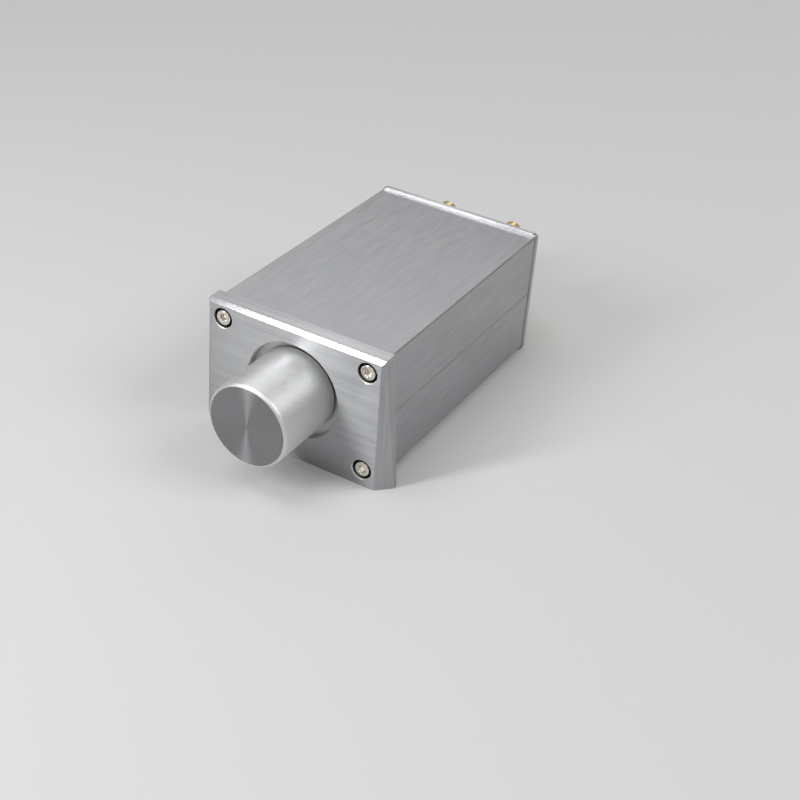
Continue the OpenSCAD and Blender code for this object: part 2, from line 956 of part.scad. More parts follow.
// Ring under each nut, with a solder tail that points to the middle of the case
module ground_tags() {
    ring_radius = socket_nut_width / 2 + tag_thickness;
    color("gold")
        for (place = socket_places)
            bar(tag_y, tag_thickness) translate(place) difference() {
                union() {
                    circle(r = ring_radius);
                    translate([-sign(place[0]) * tag_reach / 2, 0])
                        square([tag_reach, tag_width], center = true);
                }
                circle(r = thread_diameter / 2 + small_fit);
            }
}

module socket_nuts() {
    color("gold")
        for (place = socket_places)
            bar(tag_y - socket_nut_thickness, socket_nut_thickness)
                translate(place) difference() {
                    rotate(30) circle(r = socket_nut_width / sqrt(3), $fn = 6);
                    circle(r = thread_diameter / 2 + small_fit);
                }
}

// Wiring

// Two bare bars along the tags, joined by a third
module ground_bus() {
    height = row_pitch + 2 * bus_spare;
    color("peru") translate([0, tag_y - bus_diameter / 2 - small_fit, seam_z]) {
        for (side = [-1, 1])
            translate([side * bus_x, 0, -height / 2]) cylinder(h = height, r = bus_diameter / 2);
        translate([-bus_x, 0, 0])
            rotate([0, 90, 0]) cylinder(h = 2 * bus_x, r = bus_diameter / 2);
    }
}

module ground_link() {
    next_y = right_board_y + (board_thickness - terminal_thickness) / 2;
    color("peru")
        rod(-terminal_pitch, terminal_z, left_terminal_y, next_y - left_terminal_y,
            link_diameter / 2);
}

// Share of the way across at share t of a stretch: it leaves and arrives without a slope
function eased(t) = t * t * (3 - 2 * t);

// Point of a stretch from a to b, which runs steadily along Y and eases across
function stretch_point(a, b, t) = [
    a[0] + (b[0] - a[0]) * eased(t),
    a[1] + (b[1] - a[1]) * t,
    a[2] + (b[2] - a[2]) * eased(t)];

// Points about one ring pitch apart along a route
function wire_path(route) = [
    for (i = [0 : len(route) - 2])
        let (steps = max(1, round(norm(route[i + 1] - route[i]) / ring_pitch)))
            for (step = [0 : steps - 1]) stretch_point(route[i], route[i + 1], step / steps),
    route[len(route) - 1]];

// Direction of the path at a point. The two ends lie on straight leads along Y.
function direction(path, i) =
    let (step = path[min(i + 1, len(path) - 1)] - path[max(i - 1, 0)]) step / norm(step);

function wire_ring(path, i) =
    let (
        ahead = direction(path, i),
        sideways = cross(ahead, [0, 0, 1]) / norm(cross(ahead, [0, 0, 1])),
        upward = cross(sideways, ahead))
    [for (side = [0 : wire_sides - 1])
        let (angle = (side + 1 / 2) * 360 / wire_sides)
            path[i] + wire_diameter / 2 * (cos(angle) * sideways + sin(angle) * upward)];

module wire(route) {
    path = wire_path(route);
    last = len(path) - 1;
    polyhedron(
        points = [for (i = [0 : last]) each wire_ring(path, i)],
        faces = [
            [for (side = [0 : wire_sides - 1]) side],
            [for (side = [0 : wire_sides - 1]) (last + 1) * wire_sides - 1 - side],
            for (i = [0 : last - 1], side = [0 : wire_sides - 1])
                let (
                    here = i * wire_sides + side,
                    beside = i * wire_sides + (side + 1) % wire_sides)
                    each [[here, here + wire_sides, beside], [beside, here + wire_sides,
                        beside + wire_sides]]],
        convexity = 4);
}

// From a terminal to the place where the wire is soldered at the rear. It runs level
// behind the potentiometer, then crosses and drops to that place.
function wire_route(from, level_y, level_z, shares, to) = [
    from,
    from + [0, wire_lead, 0],
    [from[0], level_y, level_z],
    [from[0], pot_back_y + shares[0] * wire_run, level_z],
    [to[0], pot_back_y + shares[1] * wire_run, to[2]],
    to - [0, wire_lead, 0],
    to];

module left_gang_wire(terminal, shares, to) {
    from = [terminal * terminal_pitch, left_terminal_y, terminal_z];
    wire(wire_route(from, over_y, over_z, shares, to));
}

module right_gang_wire(terminal, shares, to) {
    from = [terminal * terminal_pitch, right_terminal_y, terminal_z];
    wire(wire_route(from, pot_back_y + wire_lead, terminal_z, shares, to));
}

module input_left_wire() {
    color("white")
        left_gang_wire(1, input_left_shares, [column_x, tail_end_y, top_row_z]);
}

module input_right_wire() {
    color("red")
        right_gang_wire(1, input_right_shares, [-column_x, tail_end_y, top_row_z]);
}

module output_left_wire() {
    color("lightblue")
        left_gang_wire(0, output_left_shares, [column_x, tail_end_y, bottom_row_z]);
}

module output_right_wire() {
    color("darkred")
        right_gang_wire(0, output_right_shares, [-column_x, tail_end_y, bottom_row_z]);
}

module ground_wire() {
    color("black")
        right_gang_wire(-1, ground_shares, [ground_wire_x, tag_y, bottom_row_z]);
}

front_panel();
front_panel_screws();
upper_shell();
lower_shell();
rear_panel();
rear_panel_screws();
knob();
knob_grub_screw();
pot_shaft();
shaft_clip();
pot_bushing();
pot_washer();
pot_nut();
pot_case_left();
pot_case_right();
track_left();
track_right();
terminals_left();
terminals_right();
pot_cover();
pot_rivets();
wiper_carrier_left();
wiper_carrier_right();
wiper_contact_left();
wiper_contact_right();
input_left_socket();
input_right_socket();
output_left_socket();
output_right_socket();
input_left_insulator();
input_right_insulator();
output_left_insulator();
output_right_insulator();
input_left_contact();
input_right_contact();
output_left_contact();
output_right_contact();
collar_washers_left();
collar_washers_right();
inner_washers();
ground_tags();
socket_nuts();
ground_bus();
ground_link();
input_left_wire();
input_right_wire();
output_left_wire();
output_right_wire();
ground_wire();
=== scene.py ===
import json
import math

import bmesh
import bpy
from mathutils import Matrix, Vector


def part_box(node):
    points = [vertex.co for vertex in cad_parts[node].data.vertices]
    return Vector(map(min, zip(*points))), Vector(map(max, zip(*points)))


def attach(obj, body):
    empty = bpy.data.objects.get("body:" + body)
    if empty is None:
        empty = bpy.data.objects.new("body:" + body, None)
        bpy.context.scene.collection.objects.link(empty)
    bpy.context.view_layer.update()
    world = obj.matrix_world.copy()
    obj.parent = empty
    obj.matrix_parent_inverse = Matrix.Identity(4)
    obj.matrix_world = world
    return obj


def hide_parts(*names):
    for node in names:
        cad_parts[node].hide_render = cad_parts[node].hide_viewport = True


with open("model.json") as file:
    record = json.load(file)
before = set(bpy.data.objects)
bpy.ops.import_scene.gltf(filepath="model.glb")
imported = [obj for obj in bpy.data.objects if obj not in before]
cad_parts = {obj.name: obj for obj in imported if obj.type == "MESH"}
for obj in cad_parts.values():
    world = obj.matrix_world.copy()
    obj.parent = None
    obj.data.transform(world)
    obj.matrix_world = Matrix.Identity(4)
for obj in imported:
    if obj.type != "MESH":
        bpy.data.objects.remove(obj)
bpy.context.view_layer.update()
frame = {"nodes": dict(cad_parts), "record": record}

# The frame is in metres, and the pieces are made in millimetres
MM = 0.001


# Sizes that are chosen for the pieces, in millimetres

# Front panel
FACE_HALF = 33
PANEL_TOP_HALF = 33.9
TOP_BEVEL = 1.3
RECESS_RADIUS = 17.7
RECESS_DEPTH = 3.6
BUSHING_HOLE_RADIUS = 4.65
COUNTERBORE_RADIUS = 3.6
SCREW_HOLE_RADIUS = 1.6
HOLE_CHAMFER = 0.25
PANEL_EASE = 0.1

# How far the panel's blank and its cutters reach past it
PANEL_SPARE = 2

# How far round a hole, and from what depth, the panel takes the finish of the recess
HOLE_FINISH_REACH = 0.27
HOLE_FINISH_DEPTH = 0.26

# Knob
KNOB_RIM = 1.35
KNOB_HOLLOW_RADIUS = 9.75
KNOB_HOLLOW_DEPTH = 8
KNOB_BORE_RADIUS = 3.05
KNOB_FRONT_WALL = 6
GRUB_HOLE_RADIUS = 1.5
KNOB_EASE = 0.2

# Socket head screws
HEAD_RADIUS = 2.75
HEAD_HEIGHT = 3
HEAD_EDGE = 0.5
HEAD_EDGE_STEPS = 6
SEAT_EDGE = 0.15
HEXAGON_RADIUS = 1.443
HEXAGON_DEPTH = 1.5
COUNTERSINK_RADIUS = 1.55
COUNTERSINK_DEPTH = 0.25
ROD_RADIUS = 1.45
ROD_LENGTH = 10
ROD_TIP = 0.4
SCREW_EASE = 0.05

# Rear panel
REAR_CORNER = 2
SOCKET_HOLE_RADIUS = 5.15
REAR_EASE = 0.14

# Phono sockets, counted from the face of the rear panel
SHELL_BORE = 3.25
SHELL_BACK = -7.7
NECK_RADIUS = 4
FLANGE_RADIUS = 7
FLANGE_BACK = 1.2
FLANGE_FRONT = 3.7
COLLAR_RADIUS = 5.5
COLLAR_FRONT = 9
BARREL_RADIUS = 4.15
BARREL_FRONT = 19
BARREL_EDGE = 0.3
SHELL_EASE = 0.12
TUBE_BORE = 2.15
TUBE_RADIUS = 3.2
TUBE_BACK = -8.4
TUBE_FRONT = 18.5
TUBE_EASE = 0.1

# Sides of round pieces, from the smallest to the largest
HOLE_SIDES = 48
BORE_SIDES = 64
SCREW_SIDES = 64
ROUND_SIDES = 96
RECESS_SIDES = 160
KNOB_SIDES = 192
CORNER_STEPS = 10

# How far the other cutters reach past their pieces
OVERRUN = 1

# How close counts as lying on a line or a plane, and how close points are merged
NEAR = 0.05
MERGE_REACH = 0.0005


# Places and sizes that the frame gives, in millimetres

X, Y, Z = range(3)


def span(node, axis):
    """The lowest and the highest place of a CAD node along an axis."""
    return [round(corner[axis] / MM, 2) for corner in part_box(node)]


def middle(node, axis):
    return sum(span(node, axis)) / 2


FACE_Y, PANEL_BACK_Y = span("front_panel", Y)
PANEL_FOOT_HALF = span("front_panel", X)[1]
PANEL_TOP = span("front_panel", Z)[1]
KNOB_FRONT_Y, KNOB_BACK_Y = span("knob", Y)
KNOB_RADIUS = span("knob", X)[1]
AXIS_Z = span("knob", Z)[0] + KNOB_RADIUS
GRUB_Y = middle("knob_grub_screw", Y)
REAR_Y, REAR_FACE_Y = span("rear_panel", Y)
REAR_HALF = span("rear_panel", X)[1]
REAR_TOP = span("rear_panel", Z)[1]
HEAD_SEAT_Y = span("front_panel_screws", Y)[0] + HEAD_HEIGHT
HEADS_FOOT, HEADS_TOP = span("front_panel_screws", Z)
SCREW_X = span("front_panel_screws", X)[1] - HEAD_RADIUS
SCREW_ZS = (HEADS_FOOT + HEAD_RADIUS, HEADS_TOP - HEAD_RADIUS)
SCREW_PLACES = [(x, z) for x in (-SCREW_X, SCREW_X) for z in SCREW_ZS]
SOCKET_X = middle("input_left_socket", X)
SOCKET_ZS = {row: middle(row + "_left_socket", Z) for row in ("input", "output")}


# Camera, at the photograph's viewing angle, in metres and degrees, with a sensor in millimetres

CAMERA_PLACE = Vector((0.21348, -0.3726, 0.28233))
CAMERA_WAY = Vector((-0.39508, 0.73153, -0.55568))
CAMERA_ROLL = 4.454
SENSOR_WIDTH = 36
FOCAL_PIXELS = 1407.3
PICTURE_PIXELS = 800
NEAREST_SEEN = 0.01


def place_camera():
    forward = CAMERA_WAY.normalized()
    level = forward.cross(Vector((0, 0, 1))).normalized()
    upright = level.cross(forward)
    roll = math.radians(CAMERA_ROLL)
    right = math.cos(roll) * level + math.sin(roll) * upright
    up = math.cos(roll) * upright - math.sin(roll) * level
    data = bpy.data.cameras.new("camera")
    data.sensor_width = SENSOR_WIDTH
    data.lens = SENSOR_WIDTH * FOCAL_PIXELS / PICTURE_PIXELS
    data.clip_start = NEAREST_SEEN
    camera = bpy.data.objects.new("camera", data)
    bpy.context.collection.objects.link(camera)
    turn = Matrix((right, up, -forward)).transposed().to_4x4()
    camera.matrix_world = Matrix.Translation(CAMERA_PLACE) @ turn
    bpy.context.scene.camera = camera


# Shader nodes

# Where a Mix node keeps its sockets for colours
MIX_MASK, MIX_FIRST, MIX_SECOND, MIX_RESULT = 0, 6, 7, 2


def feed(tree, socket, value):
    """Links a node's output to a socket, or sets the socket to a plain value."""
    if isinstance(value, bpy.types.NodeSocket):
        tree.links.new(value, socket)
    else:
        socket.default_value = value


def add(tree, kind, values=None, **settings):
    """Adds a node, with its settings and with values or links for its inputs."""
    node = tree.nodes.new("ShaderNode" + kind)
    for name, value in settings.items():
        setattr(node, name, value)
    for name, value in (values or {}).items():
        feed(tree, node.inputs[name], value)
    return node


def calc(tree, operation, first, second=0.0, clamp=False):
    return add(tree, "Math", {0: first, 1: second}, operation=operation,
               use_clamp=clamp).outputs[0]


def vector_calc(tree, operation, first, second=(0, 0, 0)):
    return add(tree, "VectorMath", {0: first, 1: second}, operation=operation).outputs[0]


def noise(tree, place, scale, detail, rough=0.5):
    return add(tree, "TexNoise", {"Vector": place, "Scale": scale, "Detail": detail,
                                  "Roughness": rough}).outputs[0]


def stretch_tones(tree, value, black, white):
    """Spreads a value out, so that it is 0 at black and 1 at white."""
    return add(tree, "MapRange", {"Value": value, "From Min": black,
                                  "From Max": white}).outputs[0]


def blend(tree, first, second, share):
    """Adds up the first value's share and the rest of the second."""
    return calc(tree, "ADD", calc(tree, "MULTIPLY", first, share),
                calc(tree, "MULTIPLY", second, 1 - share))


def colour_mix(tree, mask, first, second):
    """The first colour where the mask is black, and the second where it is white."""
    sockets = {MIX_MASK: mask}
    for place, colour in ((MIX_FIRST, first), (MIX_SECOND, second)):
        sockets[place] = (*colour, 1) if isinstance(colour, tuple) else colour
    return add(tree, "Mix", sockets, data_type="RGBA").outputs[MIX_RESULT]


def new_group(name, inputs, outputs):
    tree = bpy.data.node_groups.new(name, "ShaderNodeTree")
    for label, kind, value in inputs:
        socket = tree.interface.new_socket(label, in_out="INPUT", socket_type=kind)
        socket.default_value = value
    for label, kind in outputs:
        tree.interface.new_socket(label, in_out="OUTPUT", socket_type=kind)
    start = tree.nodes.new("NodeGroupInput")
    end = tree.nodes.new("NodeGroupOutput")
    return tree, start.outputs, end.inputs


# Effects that the materials share, each built once as a node group

FLOAT, VECTOR = "NodeSocketFloat", "NodeSocketVector"


def brushed_grain():
    """Fine lines of brushing, and rarer deep scores. Stretch says how close they lie."""
    tree, given, result = new_group(
        "brushed_grain",
        (("Vector", VECTOR, (0, 0, 0)), ("Stretch", VECTOR, (1, 1, 1)), ("Patch", FLOAT, 60)),
        (("Height", FLOAT), ("Tone", FLOAT), ("Scores", FLOAT)))
    lines = vector_calc(tree, "MULTIPLY", given["Vector"], given["Stretch"])
    fine = noise(tree, lines, scale=0.65, detail=1)
    broad = noise(tree, lines, scale=0.23, detail=2)
    patches = noise(tree, given["Vector"], scale=given["Patch"], detail=2)
    height = blend(tree, fine, broad, share=0.7)
    tree.links.new(height, result["Height"])
    tone = blend(tree, height, patches, share=0.87)
    tree.links.new(stretch_tones(tree, tone, black=0.34, white=0.66), result["Tone"])
    wider, elsewhere = (0.4, 0.4, 0.4), (7.3, 2.9, 5.1)
    apart = vector_calc(tree, "ADD", vector_calc(tree, "MULTIPLY", lines, wider), elsewhere)
    scores = noise(tree, apart, scale=1, detail=2, rough=0.6)
    tree.links.new(stretch_tones(tree, scores, black=0.6, white=0.72), result["Scores"])
    return tree


def turned_lines():
    """Coordinates for a piece that is turned on an axis along Y, through Centre.

    X steps across its rings, on its faces and along its sides. Y and Z change a little round
    each ring, as far as Drift says.
    """
    tree, given, result = new_group(
        "turned_lines",
        (("Vector", VECTOR, (0, 0, 0)), ("Centre", VECTOR, (0, 0, 0)), ("Drift", FLOAT, 0.01)),
        (("Vector", VECTOR),))
    place = vector_calc(tree, "SUBTRACT", given["Vector"], given["Centre"])
    split = add(tree, "SeparateXYZ", {0: place}).outputs
    flat = add(tree, "CombineXYZ", {"X": split["X"], "Z": split["Z"]}).outputs[0]
    radius = add(tree, "VectorMath", {0: flat}, operation="LENGTH").outputs["Value"]
    spoke = add(tree, "SeparateXYZ", {0: vector_calc(tree, "NORMALIZE", flat)}).outputs
    lines = add(tree, "CombineXYZ", {
        "X": calc(tree, "ADD", radius, split["Y"]),
        "Y": calc(tree, "MULTIPLY", spoke["X"], given["Drift"]),
        "Z": calc(tree, "MULTIPLY", spoke["Z"], given["Drift"])}).outputs[0]
    tree.links.new(lines, result["Vector"])
    return tree


def edge_mask():
    """White along the edges of a piece, within Width of them."""
    tree, given, result = new_group(
        "edge_mask", (("Width", FLOAT, 0.0003), ("Gain", FLOAT, 6)), (("Mask", FLOAT),))
    rounded = add(tree, "Bevel", {"Radius": given["Width"]}, samples=4).outputs[0]
    normal = add(tree, "NewGeometry").outputs["Normal"]
    same = add(tree, "VectorMath", {0: rounded, 1: normal},
               operation="DOT_PRODUCT").outputs["Value"]
    mask = calc(tree, "MULTIPLY", calc(tree, "SUBTRACT", 1.0, same), given["Gain"], clamp=True)
    tree.links.new(mask, result["Mask"])
    return tree


def painted_gap_shade():
    """Painted shade: white in a narrow gap that little light reaches, where the material then
    paints its colour dark. Width is how far it looks.
    """
    tree, given, result = new_group(
        "painted_gap_shade", (("Width", FLOAT, 0.003),), (("Mask", FLOAT),))
    light = add(tree, "AmbientOcclusion", {"Distance": given["Width"]}, samples=8).outputs["AO"]
    tree.links.new(stretch_tones(tree, light, black=0.5, white=0.25), result["Mask"])
    return tree


def handling_marks():
    """Faint smudges and fine stray scratches from handling. A larger Size sets them closer."""
    tree, given, result = new_group(
        "handling_marks", (("Vector", VECTOR, (0, 0, 0)), ("Size", FLOAT, 30)),
        (("Smudge", FLOAT), ("Scratch", FLOAT)))
    smudge = noise(tree, given["Vector"], scale=given["Size"], detail=4, rough=0.55)
    tree.links.new(stretch_tones(tree, smudge, black=0.4, white=0.7), result["Smudge"])
    closer = calc(tree, "MULTIPLY", given["Size"], 4.0)
    hair = add(tree, "TexVoronoi", {"Vector": given["Vector"], "Scale": closer},
               feature="DISTANCE_TO_EDGE").outputs[0]
    tree.links.new(stretch_tones(tree, hair, black=0.006, white=0.0), result["Scratch"])
    return tree


GROUPS = {maker.__name__: maker()
          for maker in (brushed_grain, turned_lines, edge_mask, painted_gap_shade, handling_marks)}


def effect(tree, name, values):
    """Places a shared node group in a material."""
    node = tree.nodes.new("ShaderNodeGroup")
    node.node_tree = GROUPS[name]
    for label, value in values.items():
        feed(tree, node.inputs[label], value)
    return node.outputs


# Materials, with lengths in metres

EDGE_WIDTH = 0.00035
EDGE_GAIN = 5.0
# How far the edges are lightened: part wear, part painted highlight
EDGE_BRIGHTER = 1.5
EDGE_BRIGHTEST = 0.95
# Colour painted into narrow gaps as shade
PAINTED_GAP_SHADE = (0.02, 0.02, 0.025)
METAL_MARKS = 25.0
METAL_SMUDGE = 0.12
METAL_SCRATCH = -0.15
SKIN_GRAIN = (900, 900, 900)
SKIN_PATCH = 140.0
SKIN_MARKS = 60.0
SKIN_SMUDGE = 0.25
SKIN_RELIEF = 0.00002
SKIN_STRENGTH = 0.6


def blank_material(name):
    material = bpy.data.materials.new(name)
    material.use_nodes = True
    tree = material.node_tree
    return material, tree, tree.nodes["Principled BSDF"]


def way_across(tree, place, scratch, centre):
    """The way along the surface and across the lines of a finish."""
    normal = add(tree, "NewGeometry").outputs["Normal"]
    if centre:
        arm = vector_calc(tree, "SUBTRACT", place, centre)
        around = vector_calc(tree, "CROSS_PRODUCT", arm, (0, 1, 0))
        ring = add(tree, "VectorTransform", {0: around}, vector_type="VECTOR",
                   convert_from="OBJECT", convert_to="WORLD").outputs[0]
        across = vector_calc(tree, "CROSS_PRODUCT", ring, normal)
    else:
        across = vector_calc(tree, "CROSS_PRODUCT", normal, scratch)
    return vector_calc(tree, "NORMALIZE", across)


def metal(name, light, dark, rough, grain, scratch=None, centre=None, spread=0.0,
          relief=0.00001, edge_wear_and_highlight=0.5, scored=0.0, uneven=0.3, shade_gap_width=0.0):
    """A machined metal.

    Grain says how close its lines lie, as one number or one for each axis. They run along
    scratch, or round the centre, and spread draws the highlight out across them. Relief is
    their height, and scored is how much deeper the rare scores are. The edge setting lightens
    the edges and makes them glossier, part wear and part painted highlight; uneven is the change
    in gloss; and the gap setting is the width of narrow gaps whose colour is painted dark as
    shade.
    """
    material, tree, shader = blank_material(name)
    place = add(tree, "TexCoord").outputs["Object"]
    lines = place
    if centre:
        lines = effect(tree, "turned_lines", {"Vector": place, "Centre": centre})["Vector"]
    stretch = grain if isinstance(grain, tuple) else (grain, grain, grain)
    brushed = effect(tree, "brushed_grain", {"Vector": lines, "Stretch": stretch})
    marks = effect(tree, "handling_marks", {"Vector": place, "Size": METAL_MARKS})
    edge = effect(tree, "edge_mask", {"Width": EDGE_WIDTH, "Gain": EDGE_GAIN})["Mask"]

    colour = colour_mix(tree, brushed["Tone"], dark, light)
    # Lighter edges: part wear, part painted highlight
    bright = tuple(min(value * EDGE_BRIGHTER, EDGE_BRIGHTEST) for value in light)
    colour = colour_mix(tree, calc(tree, "MULTIPLY", edge, edge_wear_and_highlight), colour, bright)
    # Narrow gaps are painted dark, as shade
    if shade_gap_width:
        gap = effect(tree, "painted_gap_shade", {"Width": shade_gap_width})["Mask"]
        colour = colour_mix(tree, gap, colour, PAINTED_GAP_SHADE)
    tree.links.new(colour, shader.inputs["Base Color"])
    shader.inputs["Metallic"].default_value = 1

    varied = calc(tree, "MULTIPLY", calc(tree, "SUBTRACT", brushed["Tone"], 0.5), rough * uneven)
    smudged = calc(tree, "MULTIPLY", marks["Smudge"], rough * METAL_SMUDGE)
    total = calc(tree, "ADD", calc(tree, "ADD", varied, smudged), rough)
    worn = calc(tree, "MULTIPLY", edge, rough * edge_wear_and_highlight)
    total = calc(tree, "SUBTRACT", total, worn, clamp=True)
    tree.links.new(total, shader.inputs["Roughness"])

    scratches = calc(tree, "MULTIPLY", marks["Scratch"], METAL_SCRATCH)
    height = calc(tree, "ADD", brushed["Height"], scratches)
    height = calc(tree, "ADD", height, calc(tree, "MULTIPLY", brushed["Scores"], scored))
    bump = add(tree, "Bump", {"Height": height, "Distance": relief, "Strength": 1})
    tree.links.new(bump.outputs[0], shader.inputs["Normal"])

    if spread:
        shader.inputs["Anisotropic"].default_value = spread
        tree.links.new(way_across(tree, place, scratch, centre), shader.inputs["Tangent"])
    return material


def moulded(name, light, dark, rough):
    """A moulded or laminated plastic, with a fine skin and faint mottling."""
    material, tree, shader = blank_material(name)
    place = add(tree, "TexCoord").outputs["Object"]
    skin = effect(tree, "brushed_grain", {"Vector": place, "Stretch": SKIN_GRAIN,
                                          "Patch": SKIN_PATCH})
    marks = effect(tree, "handling_marks", {"Vector": place, "Size": SKIN_MARKS})
    tree.links.new(colour_mix(tree, skin["Tone"], dark, light), shader.inputs["Base Color"])
    smudged = calc(tree, "MULTIPLY", marks["Smudge"], rough * SKIN_SMUDGE)
    tree.links.new(calc(tree, "ADD", smudged, rough), shader.inputs["Roughness"])
    bump = add(tree, "Bump", {"Height": skin["Height"], "Distance": SKIN_RELIEF,
                              "Strength": SKIN_STRENGTH})
    tree.links.new(bump.outputs[0], shader.inputs["Normal"])
    return material


KNOB_CENTRE = (0, 0, AXIS_Z * MM)

METALS = {
    "panel": {
        "light": (0.425, 0.43, 0.44), "dark": (0.375, 0.38, 0.39), "rough": 0.28,
        "grain": (25, 1500, 1500), "scratch": (1, 0, 0), "spread": 1.0, "relief": 0.000001,
        "uneven": 0.12},
    "panel_sides": {
        "light": (0.44, 0.445, 0.455), "dark": (0.37, 0.375, 0.385), "rough": 0.3,
        "grain": (2000, 2000, 60), "scratch": (0, 0, 1), "spread": 0.8, "relief": 0.000004},
    # The recess has its narrow gap by the knob painted dark, as shade
    "recess": {
        "light": (0.72, 0.73, 0.72), "dark": (0.64, 0.65, 0.64), "rough": 0.5, "grain": 3000,
        "centre": KNOB_CENTRE, "spread": 0.3, "relief": 0.000003, "shade_gap_width": 0.0032},
    # Edges lightened less than the default: part wear, part painted highlight
    "case": {
        "light": (0.51, 0.515, 0.53), "dark": (0.4, 0.405, 0.415), "rough": 0.32,
        "grain": (2000, 130, 2000), "scratch": (0, 1, 0), "spread": 0.85, "relief": 0.000008,
        "edge_wear_and_highlight": 0.3, "scored": 0.15},
    "rear_panel": {
        "light": (0.54, 0.545, 0.555), "dark": (0.4, 0.405, 0.415), "rough": 0.3,
        "grain": (120, 2000, 2000), "scratch": (1, 0, 0), "spread": 0.9},
    "knob": {
        "light": (0.74, 0.745, 0.75), "dark": (0.69, 0.695, 0.7), "rough": 0.52, "grain": 3000,
        "centre": KNOB_CENTRE, "spread": 0.4, "relief": 0.000002},
    # Much darker than the knob's side of the same metal: painted shade, with spun lines
    "knob_face": {
        "light": (0.31, 0.312, 0.32), "dark": (0.24, 0.242, 0.25), "rough": 0.36, "grain": 5000,
        "centre": KNOB_CENTRE, "spread": 0.9, "relief": 0.000004},
    "screw_nickel": {
        "light": (0.8, 0.77, 0.7), "dark": (0.66, 0.62, 0.55), "rough": 0.2, "grain": 900},
    "steel": {
        "light": (0.6, 0.6, 0.61), "dark": (0.45, 0.45, 0.46), "rough": 0.25, "grain": 1200},
    "cast_zinc": {
        "light": (0.56, 0.56, 0.55), "dark": (0.4, 0.4, 0.4), "rough": 0.4, "grain": 1500},
    "gold_plate": {
        "light": (0.93, 0.7, 0.33), "dark": (0.78, 0.56, 0.24), "rough": 0.16, "grain": 1500},
    "contact_gold": {
        "light": (0.94, 0.72, 0.36), "dark": (0.8, 0.58, 0.26), "rough": 0.2, "grain": 1500},
    "bare_copper": {
        "light": (0.78, 0.45, 0.32), "dark": (0.5, 0.26, 0.17), "rough": 0.3, "grain": 1500},
}
PLASTICS = {
    "insulator_white": {"light": (0.84, 0.83, 0.79), "dark": (0.76, 0.75, 0.7), "rough": 0.38},
    "washer_red": {"light": (0.5, 0.035, 0.03), "dark": (0.38, 0.02, 0.02), "rough": 0.35},
    "pot_housing": {"light": (0.05, 0.05, 0.055), "dark": (0.03, 0.03, 0.032), "rough": 0.45},
    "phenolic": {"light": (0.3, 0.16, 0.07), "dark": (0.2, 0.1, 0.045), "rough": 0.5},
    "carrier": {"light": (0.72, 0.7, 0.62), "dark": (0.62, 0.6, 0.52), "rough": 0.4},
    "wire_white": {"light": (0.8, 0.8, 0.78), "dark": (0.72, 0.72, 0.7), "rough": 0.4},
    "wire_red": {"light": (0.5, 0.03, 0.025), "dark": (0.4, 0.02, 0.02), "rough": 0.4},
    "wire_blue": {"light": (0.12, 0.22, 0.45), "dark": (0.08, 0.16, 0.36), "rough": 0.4},
    "wire_dark_red": {"light": (0.22, 0.015, 0.015), "dark": (0.16, 0.01, 0.01), "rough": 0.4},
    "wire_black": {"light": (0.02, 0.02, 0.02), "dark": (0.012, 0.012, 0.012), "rough": 0.4},
}
MATERIALS = {name: metal(name, **finish) for name, finish in METALS.items()}
MATERIALS.update({name: moulded(name, **finish) for name, finish in PLASTICS.items()})


# Tools of the workshop: each works on one piece, in millimetres

SMOOTH_ANGLE = 40


def deselect():
    bpy.ops.object.select_all(action="DESELECT")


def alone(piece):
    """Selects one piece and nothing else."""
    deselect()
    piece.select_set(True)
    bpy.context.view_layer.objects.active = piece


def settle(piece, name):
    """Names a piece, and puts its place, turn and size into its mesh."""
    piece.name = name
    piece.data.name = name
    alone(piece)
    bpy.ops.object.transform_apply(location=True, rotation=True, scale=True)
    return piece


def block(name, low, high):
    deselect()
    centre = [(a + b) / 2 for a, b in zip(low, high)]
    bpy.ops.mesh.primitive_cube_add(size=1, location=centre)
    bpy.context.object.scale = [b - a for a, b in zip(low, high)]
    return settle(bpy.context.object, name)


def round_bar(name, radius, front, back, x=0, z=0, sides=ROUND_SIDES):
    """A bar along Y, round or with the given number of sides."""
    deselect()
    bpy.ops.mesh.primitive_cylinder_add(
        vertices=sides, radius=radius, depth=back - front,
        location=(x, (front + back) / 2, z), rotation=(math.pi / 2, 0, 0))
    return settle(bpy.context.object, name)


def upright_bar(name, radius, foot, top, y, sides):
    """A round bar along Z, in the middle of the piece's width."""
    deselect()
    bpy.ops.mesh.primitive_cylinder_add(
        vertices=sides, radius=radius, depth=top - foot, location=(0, y, (foot + top) / 2))
    return settle(bpy.context.object, name)


def edit(piece):
    """Goes into edit mode with all of the piece selected."""
    alone(piece)
    bpy.ops.object.mode_set(mode="EDIT")
    bpy.ops.mesh.select_mode(type="VERT")
    bpy.ops.mesh.select_all(action="SELECT")


def done():
    bpy.ops.object.mode_set(mode="OBJECT")


def bevel_edges(piece, test, width, segments):
    """Bevels the edges that pass the test."""
    edit(piece)
    bpy.ops.mesh.select_mode(type="EDGE")
    bpy.ops.mesh.select_all(action="DESELECT")
    mesh = bmesh.from_edit_mesh(piece.data)
    for edge in mesh.edges:
        if test(edge):
            edge.select_set(True)
    bmesh.update_edit_mesh(piece.data)
    bpy.ops.mesh.bevel(offset=width, segments=segments, affect="EDGES")
    done()


def on_rims(y, circles):
    """A test for the edges on circles of (x, z, radius) in the plane at y."""
    def on_rim(vert):
        return abs(vert.co.y - y) < NEAR and any(
            abs(math.hypot(vert.co.x - x, vert.co.z - z) - radius) < NEAR
            for x, z, radius in circles)

    return lambda edge: all(on_rim(vert) for vert in edge.verts)


def along_y(edge):
    """A test for the edges that run from front to back."""
    first, second = edge.verts
    return abs(first.co.y - second.co.y) > NEAR


def slice_off(piece, place, normal):
    """Cuts away what lies on the normal's side of a plane, and closes the cut."""
    edit(piece)
    bpy.ops.mesh.bisect(plane_co=place, plane_no=normal, use_fill=True, clear_outer=True)
    done()


